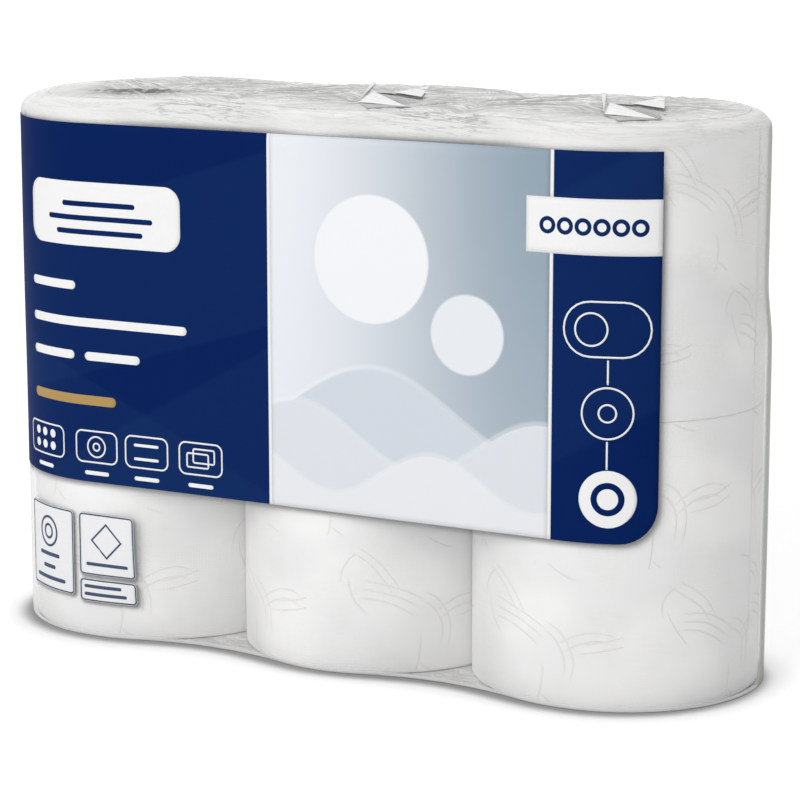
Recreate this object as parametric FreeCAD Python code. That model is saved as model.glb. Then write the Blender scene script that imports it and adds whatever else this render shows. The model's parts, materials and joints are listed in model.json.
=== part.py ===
import FreeCAD, Part
import math
import os

# A pack of toilet rolls in a clear film overwrap, in millimetres.
# Layers of rolls stand on end in one row. The film is drawn round the row, gathered
# over each core at both ends and lapped along the back. A printed sheet runs round
# the left end and across the front, with three small badges below it.
# X runs along the row, the front faces -Y, and the origin is the centre of the base.

# Rolls
roll_diameter = 96.0
roll_height = 94.0
column_names = ["left", "middle", "right"]
layer_names = ["lower", "upper"]
roll_squeeze = 7.5             # two soft rolls side by side press this much off each other
core_diameter = 45.0
core_wall = 0.6
core_fit_gap = 0.05
tail_step = 0.5                # drop behind the loose edge of the outermost sheet
tail_sweep_deg = 50.0
tail_direction_deg = 118.0

# Film overwrap
film_thickness = 0.3
film_gap = 0.2                 # between the paper and the film
end_slack = 1.8                # the film stands this much further off at the two ends
dip_depth = 7.0                # how far the film sinks between two columns, at base and top
dip_radius = 110.0
dip_reach_low = 45.0           # height over which a dip fades out above the base
dip_reach_high = 8.0           # and below the top
dimple_radius = 20.0           # where the film sinks into a core
dimple_floor_radius = 7.0
dimple_depth = 4.5
dimple_flare = 5.0             # slope that brings the folds down into it
dimple_sides = 14
back_seam_width = 12.0
back_seam_margin = 8.0         # from either end of the seam to the pack's edge

# Folds of the gathered film on the upper end
fold_height = 2.2
fold_width = 4.2
fold_variation = 0.25          # how much the folds differ in size
fold_crest_share = 0.3         # place of the highest point along a fold
fold_margin = 4.0              # from a fold's tip to the pack's edge
inner_folds = 5                # between two columns
inner_fan_deg = 70.0
outer_folds = 8                # round the free end of the row
outer_fan_deg = 150.0
flap_thickness = 0.3           # tucked triangle of film across a core
flap_corners = [(-14.0, 17.0), (7.0, -25.0), (27.0, -28.0)]    # from the core's centre
first_flap_column = 1          # at the left end the film is tucked away inside

# Printed sheet
label_thickness = 0.2
label_low = 55.5               # above the base
label_top_margin = 8.6         # below the top
label_past_end = 29.7          # how far it runs past the right column's centre
label_back_end = 19.5          # on the back, from the left column's centre
label_corner_radius = 12.0
ink_thickness = 0.1
band_width = 34.1              # plain band at the right of the picture
picture_width = 101.7
rule_width = 1.2               # thin white line each side of the picture
number_box_overlap = 8.2       # how far the white box runs into the picture
number_box_drop = 14.8         # below the label's upper edge
number_box_height = 17.7
mark_radius = 9.3
mark_from_edge = 14.4
mark_rise = 14.5               # above the label's lower edge
plate_past_end = 26.1          # how far the white plate runs past the left column's centre
plate_width = 64.6
plate_drop = 20.0
plate_height = 22.0
plate_corner_radius = 6.0

# Badges: left edge from the left column's centre, lower edge from the base, width, height
badge_thickness = 0.15
badges = {
    "badge_tall": (-32.4, 13.8, 24.4, 30.3),
    "badge_square": (-5.3, 22.0, 22.8, 22.1),
    "badge_strip": (-5.3, 12.5, 22.8, 8.1),
}

# Values worked out from those above
columns = len(column_names)
roll_radius = roll_diameter / 2
column_spacing = roll_diameter - roll_squeeze
core_radius = core_diameter / 2
film_radius = roll_radius + film_gap + film_thickness
column_x = [column_spacing * (i - (columns - 1) / 2) for i in range(columns)]
film_end_x = column_x[-1] + end_slack
pack_height = len(layer_names) * roll_height + 2 * film_thickness
label_high = pack_height - label_top_margin
label_right = film_end_x + label_past_end
picture_right = label_right - band_width
picture_left = picture_right - picture_width
far = 2 * (film_end_x + film_radius)    # longer than anything that it cuts
vector = FreeCAD.Vector
up = vector(0, 0, 1)


def box_between(low, high):
    size = [b - a for a, b in zip(low, high)]
    return Part.makeBox(*size, vector(*low))


def polar(radius, angle_deg, z=0):
    turn = math.radians(angle_deg)
    return vector(radius * math.cos(turn), radius * math.sin(turn), z)


def moved(shape, x, z=0):
    copy = shape.copy()
    copy.translate(vector(x, 0, z))
    return copy


def largest_solid(shape):
    return max(shape.Solids, key=lambda solid: solid.Volume)


def flat_sided(polygons):
    # A closed solid from flat polygons, each given by its corners.
    faces = [Part.Face(Part.makePolygon(corners + corners[:1])) for corners in polygons]
    solid = Part.makeSolid(Part.makeShell(faces))
    if solid.Volume < 0:
        solid.reverse()
    return solid


# Rolls and cores

def wound_outline():
    # Nearly a circle: the outermost sheet ends in a small step, and the turn under it
    # runs from behind that step back out to the full radius.
    tail = tail_direction_deg
    rise_end = tail + tail_sweep_deg
    opposite = (rise_end + tail + 360) / 2
    round_part = Part.Arc(polar(roll_radius, rise_end), polar(roll_radius, opposite),
                          polar(roll_radius, tail)).toShape()
    step = Part.makeLine(polar(roll_radius, tail), polar(roll_radius - tail_step, tail))
    rise_middle = polar(roll_radius - tail_step / 3, (tail + rise_end) / 2)
    rise = Part.Arc(polar(roll_radius - tail_step, tail), rise_middle,
                    polar(roll_radius, rise_end)).toShape()
    return Part.Face(Part.Wire([round_part, step, rise]))


def roll_shape(column):
    # A roll is flat on each side where it presses on its neighbour.
    wound = wound_outline().extrude(up * roll_height)
    left_flat = -column_spacing / 2 if column > 0 else -far
    right_flat = column_spacing / 2 if column < columns - 1 else far
    wound = wound.common(box_between((left_flat, -far, 0), (right_flat, far, roll_height)))
    return wound.cut(Part.makeCylinder(core_radius + core_fit_gap, roll_height))


def core_shape():
    tube = Part.makeCylinder(core_radius, roll_height)
    return tube.cut(Part.makeCylinder(core_radius - core_wall, roll_height))


# Film

def stadium(offset, low, high):
    # The film drawn tight round the row: flat front and back, half-round ends.
    radius = film_radius + offset
    straight = box_between((-film_end_x, -radius, low), (film_end_x, radius, high))
    end = Part.makeCylinder(radius, high - low, vector(0, 0, low))
    return straight.fuse([moved(end, -film_end_x), moved(end, film_end_x)]).removeSplitter()


def dip_tool(x, side, reach, offset):
    # A long leaning cylinder scoops the film's face between two columns at the base.
    # Where it would cut into a column's own round, the column is kept.
    lean = math.atan2(dip_depth, reach)
    axis = vector(0, side * math.sin(lean), math.cos(lean))
    out = vector(0, side * math.cos(lean), -math.sin(lean))
    surface = vector(x, side * (film_radius - dip_depth), 0)
    foot = surface + out * dip_radius - axis * reach
    tool = Part.makeCylinder(dip_radius - offset, 3 * reach, foot, axis)
    column = Part.makeCylinder(film_radius + offset, 3 * reach, vector(0, 0, -reach))
    half = column_spacing / 2
    return tool.cut([moved(column, x - half), moved(column, x + half)])


def upside_down(shape):
    turned = shape.copy()
    turned.rotate(vector(0, 0, pack_height / 2), vector(1, 0, 0), 180)
    return turned


def with_dips(block, offset):
    tools = []
    for left in column_x[:-1]:
        x = left + column_spacing / 2
        for side in (-1, 1):
            tools.append(dip_tool(x, side, dip_reach_low, offset))
            tools.append(upside_down(dip_tool(x, side, dip_reach_high, offset)))
    return block.cut(tools)


def wrapped_block(offset):
    # Everything inside the film's outer face, moved outwards by the offset.
    return with_dips(stadium(offset, 0, pack_height), offset)


def dimple_tool(x, drop):
    # A faceted cup where the film sinks into a core, with a flared lip above it that
    # brings the folds down. The drop gives the same cup one film thickness further in.
    sizes = [(dimple_floor_radius + drop, pack_height - dimple_depth - drop),
             (dimple_radius + drop, pack_height - drop),
             (dimple_radius + drop + dimple_flare, pack_height + fold_height)]
    rings = []
    for radius, z in sizes:
        rings.append([polar(radius, 360 * i / dimple_sides, z) for i in range(dimple_sides)])
    polygons = [rings[0], rings[-1]]
    for low, high in zip(rings[:-1], rings[1:]):
        for i in range(dimple_sides):
            polygons.append([low[i - 1], low[i], high[i], high[i - 1]])
    return moved(flat_sided(polygons), x)


def fold(length, size):
    # One gathered fold along +X: a ridge, steeper on one side, highest near the core
    # and lost in the flat film at its tip.
    height = fold_height * size
    half = fold_width * size / 2
    sink = -film_thickness / 2
    right = vector(0, -half, sink)
    left = vector(0, half, sink)
    heel = vector(0, half / 2, height / 2)
    crest = vector(length * fold_crest_share, half / 4, height)
    tip = vector(length, 0, sink)
    return flat_sided([[right, left, heel], [right, heel, crest], [left, crest, heel],
                       [right, crest, tip], [left, tip, crest], [right, tip, left]])


def fold_reach(turn, is_outer):
    # From a core's centre to the pack's edge, or to the line between two columns.
    edge = film_radius - fold_margin
    if is_outer:
        return edge
    return min(edge, column_spacing / 2 / abs(math.cos(turn)))


def folds():
    ridges = []
    for column, x in enumerate(column_x):
        for facing in (0, 180):
            is_outer = (facing == 0 and column == columns - 1) or (facing == 180 and column == 0)
            count = outer_folds if is_outer else inner_folds
            fan = outer_fan_deg if is_outer else inner_fan_deg
            for i in range(count):
                angle = facing + fan * (i / (count - 1) - 0.5)
                length = fold_reach(math.radians(angle), is_outer) - dimple_radius
                size = 1 - fold_variation * (1 + math.cos(i * i + column)) / 2
                ridge = fold(length, size)
                ridge.rotate(vector(0, 0, 0), up, angle)
                ridge.translate(polar(dimple_radius, angle, pack_height))
                ridges.append(moved(ridge, x))
    return ridges


def flap():
    # The tucked end of the film: a thin triangle that lies across a dimple.
    corners = [vector(x, y, pack_height - flap_thickness) for x, y in flap_corners]
    return Part.Face(Part.makePolygon(corners + corners[:1])).extrude(up * flap_thickness * 2)


def back_seam():
    # The sleeve's two edges overlap in a strip up the middle of the back.
    low = (-back_seam_width / 2, film_radius - film_thickness, back_seam_margin)
    face = film_radius + label_thickness + ink_thickness
    return box_between(low, (back_seam_width / 2, face, pack_height - back_seam_margin))


def film_wrap():
    outer = wrapped_block(0).fuse(folds() + [back_seam()])
    room = stadium(-film_thickness, film_thickness, pack_height - film_thickness)
    room = with_dips(room, -film_thickness)
    for x in column_x:
        outer = outer.cut([dimple_tool(x, 0), upside_down(dimple_tool(x, 0))])
        under = dimple_tool(x, film_thickness)
        room = room.cut([under, upside_down(under)])
    film = outer.cut(room).fuse([moved(flap(), x) for x in column_x[first_flap_column:]])
    return largest_solid(film.removeSplitter())


# Print

def front_plate(left, low, width, height, radius=0, rounded=((0, 0), (1, 0), (0, 1), (1, 1))):
    # A rectangle seen from the front, drawn through the front half of the pack.
    # Rounded lists its rounded corners: 0 or 1 for left or right, then for low or high.
    plate = box_between((left, -far, low), (left + width, 0, low + height))
    if radius == 0:
        return plate
    corners = [(left + width * side, low + height * level) for side, level in rounded]
    edges = []
    for edge in plate.Edges:
        start, end = edge.Vertexes
        runs_back = abs(start.Y - end.Y) > far / 2
        if runs_back and (round(start.X, 6), round(start.Z, 6)) in rounded_pairs(corners):
            edges.append(edge)
    return plate.makeFillet(radius, edges)


def rounded_pairs(corners):
    return [(round(x, 6), round(z, 6)) for x, z in corners]


def label_region():
    height = label_high - label_low
    front = front_plate(-far, label_low, far + label_right, height, label_corner_radius, ((1, 0),))
    back = box_between((-far, 0, label_low), (-film_end_x + label_back_end, far, label_high))
    return front.fuse(back)


def white_regions():
    box_low = label_high - number_box_drop - number_box_height
    box_high = label_high - number_box_drop
    box_left = picture_right - number_box_overlap
    number_box = front_plate(box_left, box_low, label_right - box_left, number_box_height)
    rules = [front_plate(picture_left - rule_width, label_low, rule_width, label_high - label_low),
             front_plate(picture_right, box_high, rule_width, label_high - box_high),
             front_plate(picture_right, label_low, rule_width, box_low - label_low)]
    plate_low = label_high - plate_drop - plate_height
    plate = front_plate(-film_end_x - plate_past_end, plate_low, plate_width, plate_height,
                        plate_corner_radius)
    mark_centre = vector(label_right - mark_from_edge, 0, label_low + mark_rise)
    mark = Part.makeCylinder(mark_radius, far, mark_centre, vector(0, -1, 0))
    return number_box, rules + [plate, mark]


def layer_on_film(inner_block, outer_block, region):
    return outer_block.common(region).cut(inner_block)


def write(name, shape):
    shape.exportStep("parts/" + name + ".step")
    print(name, "solids", len(shape.Solids), "volume", round(shape.Volume), shape.isValid())


def write_rolls():
    core = core_shape()
    for layer, layer_name in enumerate(layer_names):
        z = film_thickness + layer * roll_height
        for column, column_name in enumerate(column_names):
            place = column_name + "_" + layer_name
            write("roll_" + place, moved(roll_shape(column), column_x[column], z))
            write("core_" + place, moved(core, column_x[column], z))


def write_print():
    film_face = wrapped_block(0)
    label_face = wrapped_block(label_thickness)
    ink_face = wrapped_block(label_thickness + ink_thickness)
    write("front_label", layer_on_film(film_face, label_face, label_region()))
    number_box, others = white_regions()
    picture = front_plate(picture_left, label_low, picture_width, label_high - label_low)
    write("picture_field", layer_on_film(label_face, ink_face, picture.cut(number_box)))
    whites = [layer_on_film(label_face, ink_face, region) for region in [number_box] + others]
    write("white_print", Part.makeCompound(whites))
    badge_face = wrapped_block(badge_thickness)
    for name, (from_centre, low, width, height) in badges.items():
        region = front_plate(from_centre - film_end_x, low, width, height)
        write(name, layer_on_film(film_face, badge_face, region))


os.makedirs("parts", exist_ok=True)
write_rolls()
write("film_wrap", film_wrap())
write_print()
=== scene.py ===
import json
import math
import bmesh
import bpy
import numpy as np
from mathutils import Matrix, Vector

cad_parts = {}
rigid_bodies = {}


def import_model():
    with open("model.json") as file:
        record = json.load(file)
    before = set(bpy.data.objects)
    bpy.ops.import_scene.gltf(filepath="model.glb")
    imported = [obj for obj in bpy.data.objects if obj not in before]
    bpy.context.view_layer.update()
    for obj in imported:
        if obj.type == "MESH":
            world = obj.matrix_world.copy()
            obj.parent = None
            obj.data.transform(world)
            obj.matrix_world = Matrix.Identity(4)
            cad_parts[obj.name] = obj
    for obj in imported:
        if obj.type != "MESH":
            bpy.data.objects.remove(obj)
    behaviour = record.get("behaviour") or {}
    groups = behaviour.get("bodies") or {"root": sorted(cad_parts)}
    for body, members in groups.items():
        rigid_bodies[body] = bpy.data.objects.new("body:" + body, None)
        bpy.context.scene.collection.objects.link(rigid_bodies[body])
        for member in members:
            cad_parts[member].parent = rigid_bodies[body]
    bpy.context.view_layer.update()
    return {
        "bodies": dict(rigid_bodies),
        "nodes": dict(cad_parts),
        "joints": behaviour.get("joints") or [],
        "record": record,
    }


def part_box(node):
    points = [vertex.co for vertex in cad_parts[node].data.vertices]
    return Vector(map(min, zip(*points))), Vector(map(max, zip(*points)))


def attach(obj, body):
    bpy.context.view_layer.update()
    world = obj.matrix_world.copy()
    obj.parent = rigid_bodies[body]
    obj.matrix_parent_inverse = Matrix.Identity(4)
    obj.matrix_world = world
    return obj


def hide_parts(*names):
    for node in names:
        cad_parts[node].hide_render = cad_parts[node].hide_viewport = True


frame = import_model()
print("frame loaded")

# Lengths are in millimetres until a mesh is written. X runs along the row, the front faces -Y.
metre = 0.001
columnNames = ["left", "middle", "right"]
layerNames = ["lower", "upper"]


def nodeBox(name):
    low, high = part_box(name)
    return np.array(low) / metre, np.array(high) / metre


def packSizes():
    # The pack's driving sizes, read off the CAD nodes.
    filmLow, filmHigh = nodeBox("film_wrap")
    rollLow, rollHigh = nodeBox("roll_right_upper")
    coreLow, coreHigh = nodeBox("core_right_upper")
    radius = -filmLow[1]
    filmGap = nodeBox("roll_right_lower")[0][2]
    centres = [float(sum(nodeBox("core_%s_lower" % name))[0] / 2) for name in columnNames]
    return {
        "radius": radius,
        "endX": filmHigh[0] - radius,
        "height": rollHigh[2] + filmGap,
        "foldTop": filmHigh[2],
        "gap": filmGap,
        "rollRadius": -rollLow[1],
        "rollHeight": rollHigh[2] - rollLow[2],
        "coreRadius": (coreHigh[1] - coreLow[1]) / 2,
        "columnX": np.array(centres),
        "spacing": centres[1] - centres[0],
    }


pack = packSizes()
halfRound = math.pi * pack["radius"]
aroundPack = 4 * pack["endX"] + 2 * halfRound


# Shader maths: a wire wraps a socket, and an expression on wires adds its Math nodes.
def wireMaths(operation, reflected=False):
    def method(self, other):
        return self.finish.maths(operation, *((other, self) if reflected else (self, other)))
    return method


class Wire:
    def __init__(self, finish, socket):
        self.finish = finish
        self.socket = socket

    def __abs__(self):
        return self.finish.maths("ABSOLUTE", self)

    __add__ = __radd__ = wireMaths("ADD")
    __mul__ = __rmul__ = wireMaths("MULTIPLY")
    __sub__ = wireMaths("SUBTRACT")
    __rsub__ = wireMaths("SUBTRACT", True)
    __truediv__ = wireMaths("DIVIDE")
    __pow__ = wireMaths("POWER")
    __mod__ = wireMaths("FLOORED_MODULO")
    __lt__ = wireMaths("LESS_THAN")
    __gt__ = wireMaths("GREATER_THAN")


class Finish:
    def __init__(self, name, owner=None):
        # the nodes of a new material, or of the owner that is given
        self.owner = owner or bpy.data.materials.new(name)
        self.owner.use_nodes = True
        self.tree = self.owner.node_tree
        self.tree.nodes.clear()

    def node(self, kind, settings=None, inputs=None, output=0):
        # settings come first, then the values or links of the sockets
        made = self.tree.nodes.new("ShaderNode" + kind)
        for key, value in (settings or {}).items():
            setattr(made, key, value)
        for key, value in (inputs or {}).items():
            if isinstance(value, Wire):
                self.tree.links.new(value.socket, made.inputs[key])
            else:
                made.inputs[key].default_value = value
        return Wire(self, made.outputs[output]) if len(made.outputs) else None

    def maths(self, operation, *values):
        return self.node("Math", {"operation": operation}, dict(enumerate(values)))

    def most(self, *values):
        # the largest of several values
        largest = values[0]
        for value in values[1:]:
            largest = self.maths("MAXIMUM", largest, value)
        return largest

    def distance(self, x, y):
        return self.maths("SQRT", x * x + y * y)

    def step(self, value, low, high):
        # 0 below low, 1 above high, smooth between; low may be the larger one
        return self.node("MapRange", {"interpolation_type": "SMOOTHSTEP"},
                         {"Value": value, "From Min": low, "From Max": high})

    def split(self, vector):
        return [self.node("SeparateXYZ", None, {0: vector}, output=i) for i in range(3)]

    def surf(self, name="surf"):
        # the piece's own surface coordinates in millimetres, as three wires
        return self.split(self.node("Attribute", {"attribute_name": name}, output=1))

    def place(self, x, y, z=0.0):
        return self.node("CombineXYZ", None, {0: x, 1: y, 2: z})

    def noise(self, vector, scale, detail=2.0, rough=0.5):
        return self.node("TexNoise", None,
                         {"Vector": vector, "Scale": scale, "Detail": detail, "Roughness": rough})

    def mix(self, factor, first, second):
        return self.node("Mix", {"data_type": "RGBA"}, {0: factor, 6: first, 7: second}, 2)

    def bump(self, height, distance, strength=1.0):
        return self.node("Bump", None,
                         {"Height": height, "Distance": distance, "Strength": strength})

    def done(self, **sockets):
        shader = self.node("BsdfPrincipled", None,
                           {key.replace("_", " "): value for key, value in sockets.items()})
        self.node("OutputMaterial", None, {"Surface": shader})
        return self.owner


def grey(value, warm=0.0):
    return (value, value * (1 - warm * 0.3), value * (1 - warm), 1)


# Seeded value noise on arrays, from -1 to 1: a lattice of random values, blended smoothly.
def softNoise(x, y, seed):
    lattice = np.random.default_rng(seed).uniform(-1, 1, (256, 256))
    cellX, cellY = np.floor(x).astype(int), np.floor(y).astype(int)
    easeX, easeY = [part * part * (3 - 2 * part) for part in (x - cellX, y - cellY)]
    a, b, c, d = [lattice[(cellX + i) % 256, (cellY + j) % 256] for j in (0, 1) for i in (0, 1)]
    return (a * (1 - easeX) + b * easeX) * (1 - easeY) + (c * (1 - easeX) + d * easeX) * easeY


def triple(a, b, c):
    # three fields as one array of points or vectors
    return np.stack(np.broadcast_arrays(a, b, c), -1)


def ease(value, low, high):
    # 0 at low, 1 at high, smooth between
    share = np.clip((value - low) / (high - low), 0, 1)
    return share * share * (3 - 2 * share)


# The pack's outline: u is the length along it from the middle of the front, to the right.
def outline(u, radius):
    # Straight front and back, half circles at the ends; returns x, y and the outward normal.
    endX = pack["endX"]
    wrapped = (u + aroundPack / 2) % aroundPack - aroundPack / 2
    side = np.where(wrapped < 0, -1.0, 1.0)
    along = np.abs(wrapped)
    turn = np.clip((along - endX) / pack["radius"], 0, math.pi)
    pastRound = np.clip(along - endX - halfRound, 0, None)
    x = np.minimum(along, endX) - pastRound + radius * np.sin(turn)
    return side * x, -radius * np.cos(turn), side * np.sin(turn), -np.cos(turn)


film = {
    "dipLow": 7.0, "dipLowReach": 46.0,  # how far the film sinks between columns, and over what height
    "dipHigh": 7.5, "dipHighReach": 12.0,
    "rimLow": 0.5, "rimHigh": 1.7,  # rounding of the two ends
    "leftRim": 5.5, "rightRim": 3.2,  # and how much more at the ends of the row
    "leftSlope": 2.3, "rightSlope": 1.6,  # how much wider than high the rounding is there
    "flatSteps": 166, "roundSteps": 108,  # round the outline
    "wallStep": 3.6,
    "topRows": 86, "baseRows": 14,
    "ripple": 0.16,  # slack waves of the tight film
    "tightEnd": 1.7, "tightFrom": 112.0,  # the right end is drawn tighter above this height
    "bowlRadius": 17.0, "bowlDepth": 3.0,
    "dome": 1.8, "crinkle": 1.3, "sag": 1.6, "topCap": 2.1,
    "gatherReach": 9.0,  # how far the creases run down over the shoulder
    "seamWidth": 12.0, "seamMargin": 8.0,
}


def valley(x, depth):
    # Section between two columns: arcs round the columns and a hollow arc that touches both,
    # given as the distance behind the flat face.
    half = pack["spacing"] / 2
    radius = pack["radius"]
    depth = np.maximum(depth, 0.01)
    fromValley = np.abs((np.abs(x) % pack["spacing"]) - half)
    hollow = (half ** 2 - radius ** 2 + (radius - depth) ** 2) / (2 * depth)
    reach = half * hollow / (radius + hollow)
    inHollow = depth - hollow + np.sqrt(np.maximum(hollow ** 2 - np.minimum(fromValley, reach) ** 2, 0))
    onColumn = radius - np.sqrt(radius ** 2 - (half - np.maximum(fromValley, reach)) ** 2)
    inside = np.where(fromValley < reach, inHollow, onColumn)
    return np.where(np.abs(x) < pack["columnX"][-1], inside, 0)


def filmSink(u, z):
    # How far the film lies inside the tight outline.
    x, _, normalX, _ = outline(u, pack["radius"])
    low = film["dipLow"] * np.clip(1 - z / film["dipLowReach"], 0, 1) ** 2
    high = film["dipHigh"] * np.clip(1 - (pack["height"] - z) / film["dipHighReach"], 0, 1) ** 2
    sink = valley(x, np.maximum(low, high)) * (np.abs(normalX) < 0.5)
    wave = softNoise(u / 19, z / 60, 3) + 0.5 * softNoise(u / 7, z / 45, 4)
    sink = sink + film["ripple"] * (1 + wave / 1.5)
    tight = ease(z, film["tightFrom"], film["tightFrom"] + 22) * ease(normalX, 0.5, 1)
    return sink + film["tightEnd"] * tight


def onPack(u, z, lift=0.0):
    # Point on the film's face, lifted outwards.
    sink = filmSink(u, z) - lift
    x, y, normalX, normalY = outline(u, pack["radius"])
    return triple(x - sink * normalX, y - sink * normalY, z)


def gridFaces(rows, columns, closed=False):
    # Quads of a grid that is stored row by row; closed joins the last column to the first.
    index = np.arange(rows * columns).reshape(rows, columns)
    if closed:
        index = np.concatenate([index, index[:, :1]], 1)
    corners = [index[:-1, :-1], index[:-1, 1:], index[1:, 1:], index[1:, :-1]]
    return np.stack(corners, -1).reshape(-1, 4)


def addObject(name, data):
    made = bpy.data.objects.new(name, data)
    bpy.context.scene.collection.objects.link(made)
    return made


def makePiece(name, parts, material, attributes=("surf",), replaced=(), weld=0.0, wall=0.0):
    # Parts are (points, faces, attribute arrays); they become one mesh that rides on the pack.
    points, faces, values = [], [], [[] for _ in attributes]
    start = 0
    for partPoints, partFaces, *partValues in parts:
        flat = partPoints.reshape(-1, 3)
        points.append(flat)
        faces += (np.asarray(partFaces) + start).tolist()
        start += len(flat)
        for store, value in zip(values, partValues):
            store.append(np.asarray(value, float).reshape(-1, 3))
    mesh = bpy.data.meshes.new(name)
    mesh.from_pydata((np.concatenate(points) * metre).tolist(), [], faces)
    for key, store in zip(attributes, values):
        layer = mesh.attributes.new(key, "FLOAT_VECTOR", "POINT")
        layer.data.foreach_set("vector", np.concatenate(store).ravel())
    if weld:
        work = bmesh.new()
        work.from_mesh(mesh)
        bmesh.ops.remove_doubles(work, verts=work.verts, dist=weld * metre)
        bmesh.ops.dissolve_degenerate(work, edges=work.edges, dist=1e-4 * metre)
        work.to_mesh(mesh)
        work.free()
    mesh.polygons.foreach_set("use_smooth", [True] * len(mesh.polygons))
    mesh.materials.append(material)
    piece = addObject(name, mesh)
    if wall:
        solid = piece.modifiers.new("wall", "SOLIDIFY")
        solid.thickness = wall * metre
        solid.offset = -1
    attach(piece, "root")
    if replaced:
        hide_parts(*replaced)
    return piece


# Shapes of print, given in (u, z) on the pack's face
def panel(u0, u1, z0, z1, lift, radii=(0, 0, 0, 0), step=2.0):
    # A rectangle with rounded corners (low left, low right, high left, high right): each row
    # runs between the two sides' own edges at that height.
    ends = [np.linspace(z0, z1, max(2, int((z1 - z0) / step) + 1))]
    for radius in radii:
        arc = radius * (1 - np.cos(np.linspace(0, math.pi / 2, 9)))
        ends += [z0 + arc, z1 - arc]
    rows = np.unique(np.round(np.concatenate(ends), 5))
    rows = rows[(rows >= z0) & (rows <= z1)]
    cuts = []
    for lowRadius, highRadius in ((radii[0], radii[2]), (radii[1], radii[3])):
        fromLow = np.clip(lowRadius - (rows - z0), 0, None)
        fromHigh = np.clip(highRadius - (z1 - rows), 0, None)
        cut = lowRadius - np.sqrt(np.clip(lowRadius ** 2 - fromLow ** 2, 0, None))
        cut = cut + highRadius - np.sqrt(np.clip(highRadius ** 2 - fromHigh ** 2, 0, None))
        cuts.append(cut)
    share = np.linspace(0, 1, max(2, int((u1 - u0) / step) + 1))
    left, right = (u0 + cuts[0])[:, None], (u1 - cuts[1])[:, None]
    gridU = left + (right - left) * share
    gridZ = rows[:, None] + 0 * gridU
    points = onPack(gridU, gridZ, lift)
    return points, gridFaces(*gridU.shape), triple(gridU, gridZ, 0)


def disc(u, z, radius, lift):
    return panel(u - radius, u + radius, z - radius, z + radius, lift, (radius,) * 4, radius / 8)


def bar(u, z, width, high, lift, step=1.5):
    # a line of print with round ends, given by its middle
    return panel(u - width / 2, u + width / 2, z - high / 2, z + high / 2, lift, (high / 2,) * 4, step)


def ribbon(path, width, lift, closed=True):
    # A line of print: the path is offset to both sides along its normals.
    path = np.asarray(path, float)
    ahead, behind = np.roll(path, -1, 0), np.roll(path, 1, 0)
    if not closed:
        ahead[-1], behind[0] = path[-1], path[0]
    run = ahead - behind
    run /= np.maximum(np.linalg.norm(run, axis=1, keepdims=True), 1e-9)
    across = np.stack([-run[:, 1], run[:, 0]], -1) * width / 2
    rows = np.stack([path - across, path + across])
    u, z = rows[..., 0], rows[..., 1]
    return onPack(u, z, lift), gridFaces(2, len(path), closed), triple(u, z, 0)


def roundedPath(u0, u1, z0, z1, radius, steps=7, side=6):
    # Closed rounded rectangle, anticlockwise from the low right corner.
    turns = np.linspace(0, math.pi / 2, steps) + np.arange(-1, 3)[:, None] * math.pi / 2
    middles = np.array([(u1 - radius, z0 + radius), (u1 - radius, z1 - radius),
                        (u0 + radius, z1 - radius), (u0 + radius, z0 + radius)])[:, None]
    corners = (middles + radius * np.stack([np.cos(turns), np.sin(turns)], -1)).reshape(-1, 2)
    following = np.roll(corners, -1, 0)
    share = np.linspace(0, 1, side, endpoint=False)[None, :, None]
    return (corners[:, None] * (1 - share) + following[:, None] * share).reshape(-1, 2)


def ringPath(u, z, radius, steps=48):
    turn = np.linspace(0, 2 * math.pi, steps, endpoint=False)
    return np.stack([u + radius * np.cos(turn), z + radius * np.sin(turn)], -1)


def linePath(u0, z0, u1, z1, steps=8):
    share = np.linspace(0, 1, steps)[:, None]
    return np.array([[u0, z0]]) * (1 - share) + np.array([[u1, z1]]) * share


# The printed sheet, as places on the outline and heights
label = {
    "low": 55.5, "high": 180.0,
    "right": 122.0, "left": -262.0,  # along the outline, the left end round the back
    "corner": 12.5,
    "lift": 0.2, "ink": 0.1, "sheet": 0.12,  # above the film, each further layer, the sheet's own
    "inkWall": 0.04, "lineWall": 0.03,
    "picture": (-15.8, 85.9), "rule": 1.2,
    "shadowCorner": 12.0, "shadowReach": 2.6,
    # faint angular painted reflections of the film's creases: slope, offset and half width
    "sheens": [(0.55, -75, 44), (-0.8, 150, 36), (0.3, -150, 30), (-0.45, -30, 22)],
}


badges = {
    "badge_tall": (-125.0, -97.5, 13.8, 44.1),
    "badge_square": (-94.8, -72.0, 22.0, 44.1),
    "badge_strip": (-94.8, -72.0, 12.5, 20.6),
}
badgeSizes = {
    "corner": 1.5, "shadowReach": 1.8, "lift": 0.15, "wall": 0.1, "lineLift": 0.2,
    "frame": 0.4, "frameCorner": 1.2, "frameLine": 0.5, "line": 0.9,
    "rings": [(-111.5, 34.5, 5.2, 48), (-111.5, 34.5, 2.4, 30)],
    "diamond": (-83.4, 34.6, 6),
    "bars": [(-111.5, 26.2, 13, 1.4), (-111.5, 21.8, 8, 1.4), (-111.5, 17.6, 19, 1.4),
             (-83.4, 26.0, 17, 1.2), (-85.4, 17.9, 15, 1.2), (-84.4, 15.1, 17, 1.2)],
}


# Film overwrap
def outlineSteps():
    # Places round the outline that pair up front and back, so that the ends close on a line.
    endX, length = pack["endX"], 2 * pack["endX"] + halfRound
    flat = np.linspace(-endX, endX, film["flatSteps"] + 1)[:-1]
    bend = endX + np.linspace(0, halfRound, film["roundSteps"] + 1)[:-1]
    steps = np.concatenate([flat, bend, flat + length, bend + length])
    return (steps + aroundPack / 2) % aroundPack - aroundPack / 2


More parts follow.
